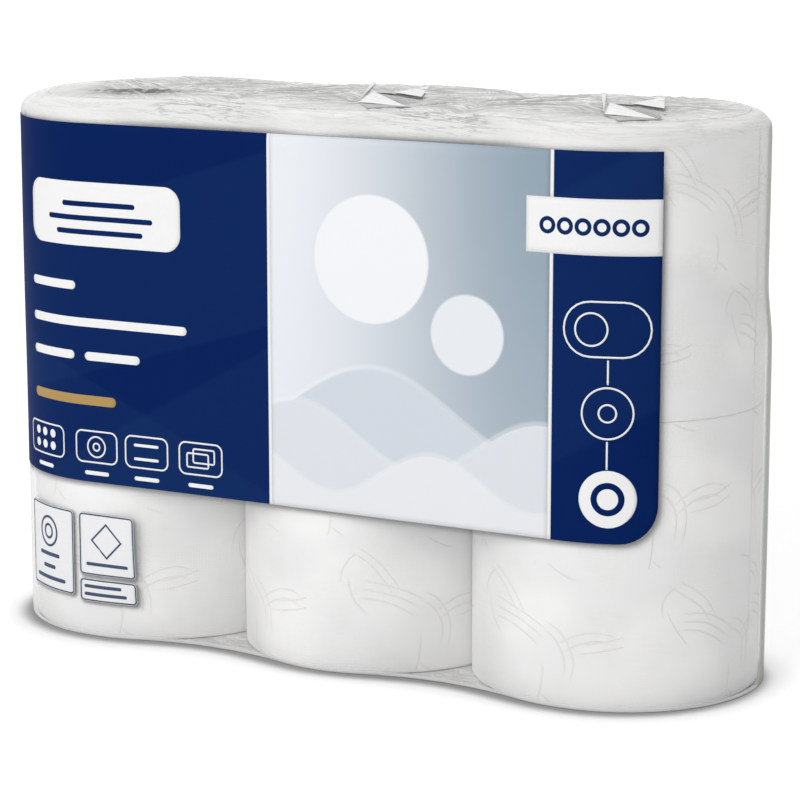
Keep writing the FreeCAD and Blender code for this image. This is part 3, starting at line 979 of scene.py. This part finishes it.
def whiteParts(lift):
    # White fields and line work, all in one layer of ink.
    line = marks["line"]
    pictureLeft, pictureRight = label["picture"]
    boxLow, boxHigh = marks["numberBox"][2:]
    low, high, rule = label["low"], label["high"], label["rule"]
    parts = [panel(pictureLeft - rule, pictureLeft, low, high, lift),
             panel(pictureRight, pictureRight + rule, boxHigh, high, lift),
             panel(pictureRight, pictureRight + rule, low, boxLow, lift),
             panel(*marks["numberBox"], lift),
             panel(*marks["plate"], lift, (6,) * 4),
             disc(*marks["mark"][:3], lift)]
    parts += [panel(u0, u1, z0, z1, lift, ((z1 - z0) / 2,) * 4) for u0, u1, z0, z1 in marks["textBars"]]
    for u0, u1 in marks["icons"]:
        parts.append(ribbon(roundedPath(u0, u1, 62.5, 73.5, 2.5), line, lift))
        middle = (u0 + u1) / 2
        parts.append(panel(middle - 5, middle + 5, 58.0, 59.4, lift, (0.7,) * 4, 1))
    parts += [disc(-117 + 5 * (i % 3), 66 + 4.4 * (i // 3), 1.5, lift) for i in range(6)]
    parts += [bar(-66, z, 10, 1.0, lift, 1) for z in (65.6, 70.4)]
    parts += [ribbon(ringPath(*ring), line, lift) for ring in marks["rings"]]
    parts += [ribbon(roundedPath(*box), line, lift) for box in marks["boxes"]]
    parts += [ribbon(linePath(u, z0, u, z1), line, lift, False) for u, z0, z1 in marks["links"]]
    return parts


def navyMarks(lift):
    # Navy line work on the white fields: rings and bars with no lettering.
    boxLeft, _, boxLow, boxHigh = marks["numberBox"]
    inset, step, radius, width = marks["bead"]
    markU, markZ, _, ring, ringWidth = marks["mark"]
    parts = [ribbon(ringPath(boxLeft + inset + step * i, (boxLow + boxHigh) / 2, radius, 36), width, lift)
             for i in range(marks["beads"])]
    parts.append(ribbon(ringPath(markU, markZ, ring), ringWidth, lift))
    return parts + [bar(u, z, width, 1.8, lift) for u, z, width in marks["plateBars"]]


def buildLabel():
    low, high, lift, corner = [label[key] for key in ("low", "high", "lift", "corner")]
    ink = lift + label["ink"]
    navy = printFinish("labelNavy", (0.0012, 0.0145, 0.095), 0.02, 0.12)
    white = printFinish("labelWhite", (0.84, 0.84, 0.84), 0.2)
    gold = printFinish("labelGold", (0.42, 0.27, 0.09), 0.2)
    sheet = panel(label["left"], label["right"], low, high, lift, (0, corner, 0, 0))
    field = panel(*label["picture"], low, high, lift + label["ink"] * 0.6)
    goldBar = panel(*marks["goldBar"], ink, (1.7,) * 4)
    inkWall, lineWall = label["inkWall"], label["lineWall"]
    for name, parts, finish, slotName, replaced, wall in (
            ("frontPanel", [sheet], navy, "label_navy", ["front_label"], label["sheet"]),
            ("pictureField", [field], pictureFinish(), "label_picture", ["picture_field"], inkWall),
            ("whitePrint", whiteParts(ink), white, "label_white", ["white_print"], inkWall),
            ("navyPrint", navyMarks(ink + 0.05), navy, "label_navy", [], lineWall),
            ("goldPrint", [goldBar], gold, "label_white", [], inkWall)):
        makePiece(name, parts, finish, replaced=replaced, wall=wall)


def buildBadges():
    size = badgeSizes
    white = printFinish("badgeWhite", (0.82, 0.82, 0.83), 0.2)
    slate = printFinish("badgeSlate", (0.06, 0.09, 0.16), 0.1)
    lift, inset = size["lineLift"], size["frame"]
    lines = []
    for name, (u0, u1, z0, z1) in badges.items():
        face = panel(u0, u1, z0, z1, size["lift"], (size["corner"],) * 4)
        makePiece(name.replace("badge_", "badge"), [face], white, replaced=(name,),
                  wall=size["wall"])
        frame = roundedPath(u0 + inset, u1 - inset, z0 + inset, z1 - inset, size["frameCorner"])
        lines.append(ribbon(frame, size["frameLine"], lift))
    lines += [ribbon(ringPath(*ring), size["line"], lift) for ring in size["rings"]]
    u, z, reach = size["diamond"]
    corners = [(u + reach * a, z + reach * b) for a, b in ((1, 0), (0, 1), (-1, 0), (0, -1))]
    lines.append(ribbon(corners, size["line"], lift))
    lines += [bar(*place, lift) for place in size["bars"]]
    makePiece("badgeLines", lines, slate, wall=label["lineWall"])


# Stage: floor, light and camera
studio = {
    "floorReach": 9.0, "floorTone": 0.9, "contactTone": 0.35,
    "floorGlow": (0.3, 0.3, 0.2, 1.6),  # glow, more of it, and from where to where that sets in
    "onPack": 0.6,  # the world's light on the pack; it looks white by itself
    "lamps": [("key", (-0.35, -1.8, 1.1), 1.2, 17.0), ("top", (0.0, 0.3, 1.7), 1.0, 5.5)],
    "aim": (0, 0, 0.09),
}


def buildStage():
    mesh = bpy.data.meshes.new("floor")
    reach = studio["floorReach"]
    corners = [(-reach, -reach, 0), (reach, -reach, 0), (reach, reach, 0), (-reach, reach, 0)]
    mesh.from_pydata(corners, [], [(0, 1, 2, 3)])
    floor = addObject("floor", mesh)
    finish = Finish("floorWhite")
    seen = finish.node("LightPath")
    where = finish.node("TexCoord", output=3)
    away = finish.node("VectorMath", {"operation": "LENGTH"}, {0: where}, output=1)
    # the contact shade gathers close round the pack's outline, which dips between the columns
    x, y, _ = finish.split(where)
    wave = finish.maths("COSINE", x * (2 * math.pi / pack["spacing"] / metre))
    between = abs(x) < pack["columnX"][-1] * metre
    dip = (0.5 - 0.5 * wave) * between * film["dipLow"] * metre
    pastEnd = finish.most(abs(x) - pack["endX"] * metre, 0)
    outside = finish.distance(pastEnd, y + 0.003) - pack["radius"] * metre + dip
    contact = 0.6 * finish.step(outside, 0.005, -0.002) + 0.4 * finish.step(outside, 0.021, -0.004) ** 2
    glow, more, near, far = studio["floorGlow"]
    strength = seen * (glow + more * finish.step(away, near, far)) * (1 - contact)
    light = finish.node("Emission", None, {"Color": (1, 1, 1, 1), "Strength": strength})
    tone = finish.mix(contact, grey(studio["floorTone"]), grey(studio["contactTone"]))
    base = finish.node("BsdfDiffuse", None, {"Color": tone})
    both = finish.node("AddShader", None, {0: base, 1: light})
    finish.node("OutputMaterial", None, {"Surface": both})
    mesh.materials.append(finish.owner)


def buildLight():
    world = bpy.data.worlds.new("studio")
    bpy.context.scene.world = world
    sky = Finish("studio", world)
    # white where the camera or a reflection sees it
    direct, glossy, through = [sky.node("LightPath", output="Is %s Ray" % kind)
                               for kind in ("Camera", "Glossy", "Transmission")]
    seen = sky.node("Math", {"operation": "ADD", "use_clamp": True},
                    {0: direct + glossy, 1: through})
    level = sky.node("Mix", None, {0: seen, 2: studio["onPack"], 3: 1.0})
    background = sky.node("Background", None, {0: (1, 1, 1, 1), 1: level})
    sky.node("OutputWorld", None, {0: background})
    for name, place, size, power in studio["lamps"]:
        lamp = bpy.data.lights.new(name, "AREA")
        lamp.size = size
        lamp.energy = power
        holder = addObject(name, lamp)
        holder.location = place
        aimX, aimY, aimZ = np.array(studio["aim"]) - np.array(place)
        holder.rotation_euler = (math.atan2(math.hypot(aimX, aimY), -aimZ), 0, math.atan2(-aimX, aimY))


view = {
    "place": (0.46702, -0.85621, 0.27544),
    "azimuth": 28.27, "pitch": 11.09,  # degrees, the photograph's viewing angle
    "lens": 129.47, "sensor": 36.0,
}


def buildCamera():
    camera = bpy.data.cameras.new("camera")
    camera.lens = view["lens"]
    camera.sensor_width = view["sensor"]
    holder = addObject("camera", camera)
    holder.location = view["place"]
    holder.rotation_euler = (math.radians(90 - view["pitch"]), 0, math.radians(view["azimuth"]))
    bpy.context.scene.camera = holder


buildCamera()
buildStage()
buildLight()
print("stage built")
buildFilm()
print("film built")
buildRolls()
finishCores()
print("rolls built")
buildLabel()
buildBadges()
print("print built")
bpy.context.scene.view_settings.view_transform = "Standard"
